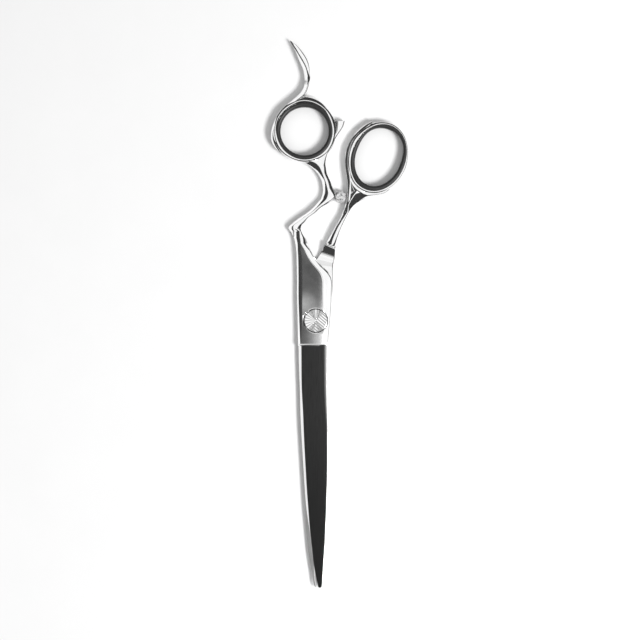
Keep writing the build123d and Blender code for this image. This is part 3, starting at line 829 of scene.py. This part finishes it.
def lower_ricasso(shell):
    """Lower pivot area: flat above with a narrow falling rim, bevelled below."""
    sections = []
    for row in lofted_rows(THUMB_RICASSO_ROWS, 240):
        start, across = row[:2], row[2:4] - row[:2]
        first, last, level = row[4:7]
        rim = RIM_WIDTH / math.hypot(*across)
        line = [(0.0, level - SIDE_FALL), (rim, level), (1 - rim, level), (1.0, level - SIDE_FALL)]
        line += [(1.0, BELLY_EDGE), (last, BELLY), (first, BELLY), (0.0, BELLY_EDGE)]
        sections.append([(*(start + across * v), z) for v, z in line])
    mats = [STEEL_SLOT] * 8
    mats[5] = SATIN_SLOT  # the belly face
    shell.loft(np.array(sections), range(8), mats)


UPPER_BORES = [
    ("seat", [(0.0, 4.35), (4.95, 4.35), (4.95, 5.5), (5.4, 5.61), (5.35, 7.0), (0.0, 7.0)]),
    ("recess", [(0.0, 2.0), (4.3, 2.0), (4.3, 3.8), (0.0, 3.8)]),
    ("hole", [(0.0, 2.5), (2.64, 2.5), (2.64, 5.0), (0.0, 5.0)]),
]
LOWER_BORES = [
    ("recess", [(0.0, 2.2), (4.3, 2.2), (4.3, 4.0), (0.0, 4.0)]),
    ("hole", [(0.0, -1.0), (4.55, -1.0), (4.55, 1.0), (3.2, 1.0), (3.2, 2.5), (0.0, 2.5)]),
]


def build_halves():
    """Both forgings: ricasso with its pivot bores, joined to the handle and blade."""
    upper, lower = Shell(), Shell()
    ricasso(upper)
    lower_ricasso(lower)
    up = upper.build("finger_blade", HALF_MATERIALS)
    low = lower.build("thumb_blade", HALF_MATERIALS)
    for half, bores in ((up, UPPER_BORES), (low, LOWER_BORES)):
        for name, profile in bores:
            cut(half, cutter(name, profile))
    finger = join("finger_half_look", [up, finger_handle()])
    thumb = join("thumb_half_look", [low, thumb_handle()])
    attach(finger, "finger_side")
    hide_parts("finger_half")
    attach(thumb, "thumb_side")
    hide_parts("thumb_half")


build_halves()


# ---------------------------------------------------------------- inserts, bumper, dial, spring
LINER = 1.7  # wall of an insert
LINER_GAP = 0.06
LINER_PROFILE = [
    # distance from the hole and height above the mid plane
    (0.0, 1.4), (0.05, 2.1), (0.2, 2.5), (0.45, 2.75), (0.7, 2.85), (0.85, 2.86),
    (0.93, 2.94), (1.1, 2.98), (1.35, 2.95), (1.55, 2.82), (1.67, 2.6), (LINER, 2.2),
]


def insert(name, centre, long_r, short_r, tilt, thin, body, node):
    """Rubber lining with rounded lips, a fine moulding line on each lip and thinner shoulders."""
    shell = Shell()
    outline = LINER_PROFILE + [(v, -z) for v, z in reversed(LINER_PROFILE)]
    sections = []
    for angle in around(200):
        inner, normal = oval(centre, long_r, short_r, tilt, angle)
        shift = LINER_GAP + thin * math.sin(2 * angle) ** 2 * (math.cos(angle) > 0)
        squeeze = 1 - shift / LINER
        sections.append([(*(inner + normal * (shift + v * squeeze)), MID + z) for v, z in outline])
    shell.loft(np.array(sections), closed=True)
    obj = shell.build(name, [RUBBER])
    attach(obj, body)
    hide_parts(node)


insert("finger_insert_look", FINGER_C, 9.9, 9.9, 0.0, 0.0, "finger_side", "finger_ring_insert")
insert("thumb_insert_look", THUMB_C, 12.2, 9.3, THUMB_TILT, 0.6, "thumb_side", "thumb_ring_insert")

BUMPER_X, BUMPER_Y = 10.25, 51.3
BUMPER_PROFILE = [
    # radius and distance along the axis, from the stem to the rounded head
    (0.0, -4.9), (0.6, -4.9), (1.0, -4.7), (1.05, -2.3), (1.5, -2.1), (2.15, -1.6), (2.5, -0.8),
    (2.6, 0.0), (2.45, 0.9), (2.0, 1.6), (1.3, 2.1), (0.6, 2.35), (0.0, 2.4),
]


def bumper():
    """Round silicone button on a stem that points into the shank."""
    shell = Shell()
    smooth = spline(BUMPER_PROFILE, 60, 2)
    sections = []
    for angle in around(72):
        y, z = math.cos(angle), math.sin(angle)
        sections.append([(BUMPER_X + x, BUMPER_Y + r * y, MID + r * z) for r, x in smooth])
    shell.loft(np.array(sections), closed=True)
    obj = shell.build("bumper_look", [CLEAR])
    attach(obj, "finger_side")
    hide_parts("bumper")


bumper()

CENTRE_R = 0.02  # radius of the tiny opening left at the axis
FACE_R = 4.35  # radius of the engraved face
FACE_STEPS = 110
FACE_TOP = 5.98
GROOVE_PITCH = 0.42
GROOVE_DEPTH = 0.015
KEY_HOLES = ((0.25, 0.95), (-0.55, -1.3))
KEY_HOLE_R = 0.3
KEY_FLOOR = 5.75
DIAL_RIM = [
    # radius and height, from the groove around the face to the middle of the underside
    (4.42, 5.96), (4.5, 5.98), (4.62, 5.93), (4.72, 5.84),
    (4.75, 5.75), (4.75, 5.1), (4.6, 5.03), (CENTRE_R, 5.03),
]


def face_height(x, y, angle):
    """Height of the dial's face: grooves turned by sector like a pinwheel, and two key holes."""
    for hole in KEY_HOLES:
        if math.dist((x, y), hole) < KEY_HOLE_R:
            return KEY_FLOOR
    sector = int(angle / EIGHTH)
    turn = (sector + 0.5) * EIGHTH + (EIGHTH if sector % 2 else -EIGHTH)
    across = x * math.cos(turn) + y * math.sin(turn)
    groove = 0.5 - 0.5 * math.cos(FULL_TURN * across / GROOVE_PITCH)
    return FACE_TOP - GROOVE_DEPTH * groove**2


def dial():
    """Flat dial with an engraved pinwheel of fine grooves and two blind key holes."""
    shell = Shell()
    sections = []
    for angle in around(300):
        line = []
        for r in np.linspace(CENTRE_R, FACE_R, FACE_STEPS):
            x, y = r * math.cos(angle), r * math.sin(angle)
            line.append((x, y, face_height(x, y, angle)))
        sections.append(line + turned_section(angle, DIAL_RIM))
    shell.loft(np.array(sections), closed=True)
    obj = shell.build("dial_look", [DIAL])
    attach(obj, "dial")
    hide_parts("tension_dial")


dial()

SPRING_IN, SPRING_OUT = 2.65, 4.25
SPRING_LOW = 4.6
SPRING_WAVE = 0.055
SPRING_THICK = 0.11


def wave_spring():
    """Thin wavy ring under the dial, with three even waves round it."""
    shell = Shell()
    sections = []
    for angle in around(120):
        low = SPRING_LOW + SPRING_WAVE * math.sin(3 * angle)
        high = low + SPRING_THICK
        profile = [(SPRING_IN, low), (SPRING_OUT, low), (SPRING_OUT, high), (SPRING_IN, high)]
        sections.append(turned_section(angle, profile))
    shell.loft(np.array(sections), range(4), closed=True)
    obj = shell.build("wave_spring_look", [PIVOT])
    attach(obj, "thumb_side")
    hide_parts("wave_spring")
    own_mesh(obj)


wave_spring()

STEEL_NODES = ("pivot_bolt", "lower_race", "upper_race", "bearing_balls", "pressure_washer")
NYLON_NODES = ("bearing_cage", "pivot_bushing", "slide_washer")
for look, nodes in ((PIVOT, STEEL_NODES), (NYLON, NYLON_NODES)):
    for node in nodes:
        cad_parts[node].data.materials.clear()
        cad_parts[node].data.materials.append(look)


# ---------------------------------------------------------------- studio
FLOOR_DROP = 0.00002  # keeps the floor from meeting the lowest faces
SKY_STOPS = [(0.0, 0.12), (0.12, 0.04), (0.58, 0.05), (0.72, 0.75), (0.86, 1.0), (1.0, 0.92)]


def pale_floor():
    look = Look("pale_floor")
    look.set("Roughness", 0.9)
    look.set("Specular IOR Level", 0.0)
    tone = look.ramp(look.noise(40.0), [(0.2, 0.78), (0.8, 0.8)])
    look.links.new(tone, look.shader.inputs["Base Color"])
    mesh = bpy.data.meshes.new("floor")
    mesh.from_pydata([(-2, -2, 0), (2, -2, 0), (2, 2, 0), (-2, 2, 0)], [], [(0, 1, 2, 3)])
    mesh.materials.append(look.material)
    floor = bpy.data.objects.new("floor", mesh)
    floor.location.z = -FLOOR_DROP
    bpy.context.scene.collection.objects.link(floor)


def sky():
    """World that is white overhead and dark lower down, so that the steel shows its facets."""
    world = bpy.data.worlds.new("studio")
    bpy.context.scene.world = world
    world.use_nodes = True
    graph = Graph(world.node_tree)
    height = graph.split(graph.coords("Generated"))["Z"]
    back = graph.nodes["Background"]
    graph.links.new(graph.ramp(height, SKY_STOPS), back.inputs["Color"])
    back.inputs["Strength"].default_value = 1.04


def key_lamp():
    """Soft round lamp from the right, which throws the shadows to the left."""
    key = bpy.data.lights.new("key", "AREA")
    key.shape = "DISK"
    key.size = 0.3
    key.energy = 9.5
    lamp = bpy.data.objects.new("key", key)
    lamp.location = (0.47, -0.22, 0.88)
    aim = Vector((0.0, 0.0, 0.0)) - lamp.location
    lamp.rotation_euler = aim.to_track_quat("-Z", "Y").to_euler()
    bpy.context.scene.collection.objects.link(lamp)


def camera_above():
    """Long lens straight above the shears, as in the photo."""
    eye = bpy.data.cameras.new("camera")
    eye.lens = 190.2
    eye.dof.use_dof = False
    eye.clip_start = 0.01
    camera = bpy.data.objects.new("camera", eye)
    camera.location = (0.0017, 0.0003, 1.403)
    bpy.context.scene.collection.objects.link(camera)
    bpy.context.scene.camera = camera


pale_floor()
sky()
key_lamp()
camera_above()
bpy.context.scene.view_settings.view_transform = "Standard"
